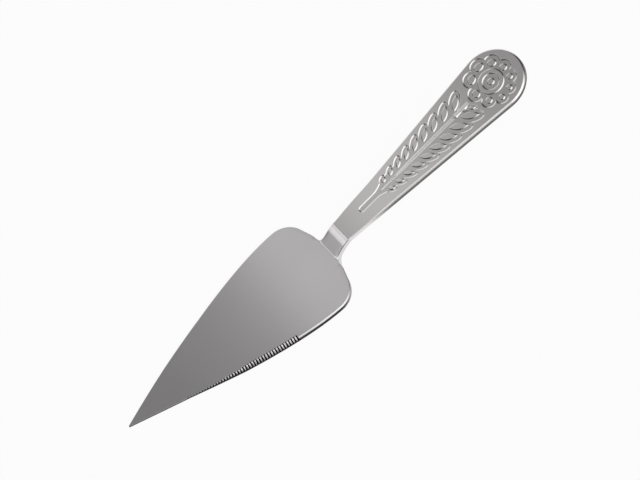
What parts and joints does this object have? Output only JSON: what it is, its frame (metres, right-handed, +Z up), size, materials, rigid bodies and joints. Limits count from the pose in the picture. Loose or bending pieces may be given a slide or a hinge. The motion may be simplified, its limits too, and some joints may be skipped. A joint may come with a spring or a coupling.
{
  "type": "cake lifter",
  "caption": "Flat pointed steel cake lifter with one serrated edge, a cranked neck and a tapering ornamented handle with a round end.",
  "frame": {"origin": "on the surface that the blade lies on, under the middle of the lifter's length and width", "axes": "+X along the lifter to the blade's tip, +Y to the serrated edge, +Z up from the blade's underside"},
  "size_m": [0.2492, 0.0556, 0.0246],
  "materials": {
    "blade_steel": "polished stainless steel with a soft satin sheen",
    "handle_steel": "stamped and polished stainless steel, ornament tumbled bright",
    "weld_steel": "weld ground flush and polished with the neck"
  },
  "bodies": {
    "root": {"blade": "blade_steel", "handle": "handle_steel", "weld_top": "weld_steel", "weld_under": "weld_steel"}
  },
  "joints": []
}
